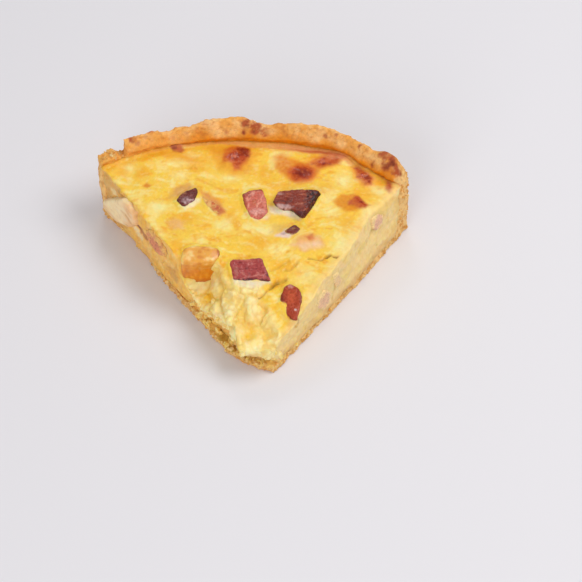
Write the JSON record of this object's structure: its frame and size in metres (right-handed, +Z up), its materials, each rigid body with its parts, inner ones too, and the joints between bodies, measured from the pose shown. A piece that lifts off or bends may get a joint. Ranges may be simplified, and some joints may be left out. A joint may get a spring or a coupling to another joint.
{
  "type": "slice of quiche lorraine",
  "caption": "Cut slice of quiche with a raised crust rim, set egg filling, ham pieces in its skin and cut faces, and a crumbled tip.",
  "frame": {"origin": "middle of the bounding box, on the flat underside", "axes": "+Z up out of the skin, +Y from the tip to the rim, +X from the left cut to the right cut, seen with the tip nearest"},
  "size_m": [0.1343, 0.1106, 0.0381],
  "materials": {
    "golden_pastry": "baked, rough",
    "egg_custard": "soft set egg, slightly moist",
    "cured_ham": "moist, fried",
    "pale_ham": "moist",
    "golden_chunk": "roasted, moist",
    "pale_chunk": "soft, pale"
  },
  "bodies": {
    "root": {"pastry_shell": "golden_pastry", "custard_filling": "egg_custard", "lardon_left_dark": "cured_ham", "lardon_left_sunk": "cured_ham", "lardon_centre_pink": "pale_ham", "lardon_large_dark": "cured_ham", "lardon_small_dark": "cured_ham", "lardon_front_square": "cured_ham", "lardon_front_drop": "cured_ham", "golden_chunk": "golden_chunk", "pale_chunk": "pale_chunk", "ham_left_cut": "pale_ham", "ham_right_outer": "pale_ham", "ham_right_middle": "pale_ham", "ham_right_inner": "pale_ham"}
  },
  "joints": []
}
